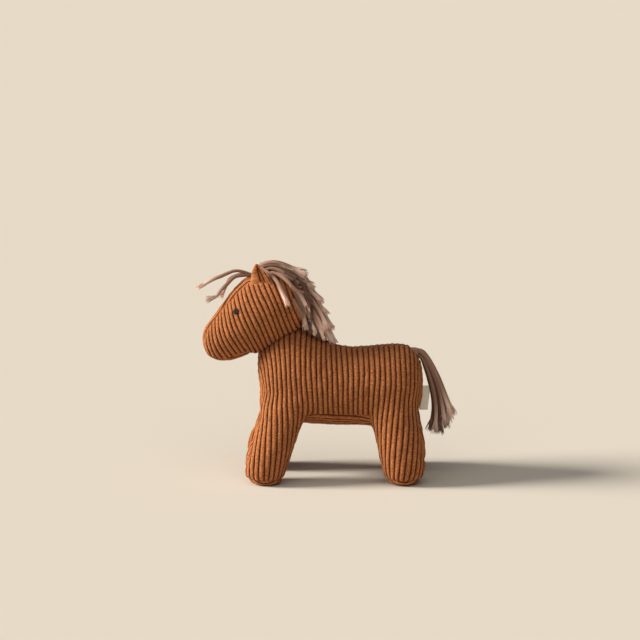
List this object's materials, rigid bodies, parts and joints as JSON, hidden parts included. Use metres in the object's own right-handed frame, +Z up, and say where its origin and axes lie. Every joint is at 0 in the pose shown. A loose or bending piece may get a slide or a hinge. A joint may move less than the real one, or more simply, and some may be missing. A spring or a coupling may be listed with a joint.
{
  "type": "plush horse",
  "caption": "Standing plush horse sewn from ribbed fabric, with a yarn mane, forelock and hinged tail, folding cupped ears, embroidered eyes and a blank woven label.",
  "frame": {"origin": "on the floor plane, under the middle of the whole horse's box", "axes": "+Z up from the floor; the horse faces -X; its left side is -Y"},
  "size_m": [0.2284, 0.0958, 0.1991],
  "materials": {
    "ribbed_cover": "matte",
    "sole_cloth": "matte",
    "cotton_yarn": "matte",
    "filling": "matte",
    "eye_thread": "satin",
    "woven_label": "matte"
  },
  "bodies": {
    "stuffed_body": {"body_side_left": "ribbed_cover", "body_side_right": "ribbed_cover", "belly_gusset": "ribbed_cover", "body_filling": "filling", "leg_front_left_cover": "ribbed_cover", "leg_front_left_sole": "sole_cloth", "leg_front_left_filling": "filling", "leg_hind_left_cover": "ribbed_cover", "leg_hind_left_sole": "sole_cloth", "leg_hind_left_filling": "filling", "leg_front_right_cover": "ribbed_cover", "leg_front_right_sole": "sole_cloth", "leg_front_right_filling": "filling", "leg_hind_right_cover": "ribbed_cover", "leg_hind_right_sole": "sole_cloth", "leg_hind_right_filling": "filling", "head_side_left": "ribbed_cover", "head_side_right": "ribbed_cover", "head_gusset": "ribbed_cover", "head_filling": "filling", "eye_left": "eye_thread", "eye_right": "eye_thread", "mane_tape": "cotton_yarn", "mane_lock_left_1": "cotton_yarn", "mane_lock_left_2": "cotton_yarn", "mane_lock_left_3": "cotton_yarn", "mane_lock_left_4": "cotton_yarn", "mane_lock_left_5": "cotton_yarn", "mane_lock_left_6": "cotton_yarn", "mane_lock_left_7": "cotton_yarn", "mane_lock_right_1": "cotton_yarn", "mane_lock_right_2": "cotton_yarn", "mane_lock_right_3": "cotton_yarn", "mane_lock_right_4": "cotton_yarn", "mane_lock_right_5": "cotton_yarn", "mane_lock_right_6": "cotton_yarn", "mane_lock_right_7": "cotton_yarn", "mane_ridge_lock_1": "cotton_yarn", "mane_ridge_lock_2": "cotton_yarn", "mane_ridge_lock_3": "cotton_yarn", "mane_ridge_lock_4": "cotton_yarn", "forelock_strand_1": "cotton_yarn", "forelock_strand_2": "cotton_yarn", "forelock_strand_3": "cotton_yarn"},
    "tail_root": {"tail_root": "cotton_yarn"},
    "tail": {"tail_lock_outer_left": "cotton_yarn", "tail_lock_outer_right": "cotton_yarn", "tail_lock_middle": "cotton_yarn", "tail_lock_inner_left": "cotton_yarn", "tail_lock_inner_right": "cotton_yarn"},
    "ear_left": {"ear_left": "ribbed_cover"},
    "ear_right": {"ear_right": "ribbed_cover"},
    "label": {"label": "woven_label"}
  },
  "joints": [
    {"name": "tail_swing", "type": "hinge", "parent": "stuffed_body", "child": "tail_root", "pos_m": [0.08144, -0.00004, 0.11247], "axis": [1, 0, 0], "range_deg": [-22, 22]},
    {"name": "tail_lift", "type": "hinge", "parent": "tail_root", "child": "tail", "pos_m": [0.08144, -0.00004, 0.11247], "axis": [0, -1, 0], "range_deg": [0, 60]},
    {"name": "ear_left_fold", "type": "hinge", "parent": "stuffed_body", "child": "ear_left", "pos_m": [-0.05947, -0.01864, 0.18067], "axis": [0.9164, -0.4003, 0], "range_deg": [0, 55], "stiffness_Nm_per_rad": 0.002},
    {"name": "ear_right_fold", "type": "hinge", "parent": "stuffed_body", "child": "ear_right", "pos_m": [-0.05947, 0.01864, 0.18067], "axis": [-0.9164, -0.4003, 0], "range_deg": [0, 55], "stiffness_Nm_per_rad": 0.002},
    {"name": "label_flap", "type": "hinge", "parent": "stuffed_body", "child": "label", "pos_m": [0.08741, 0, 0.072], "axis": [0, 0, 1], "range_deg": [-60, 60], "stiffness_Nm_per_rad": 0.0001}
  ]
}
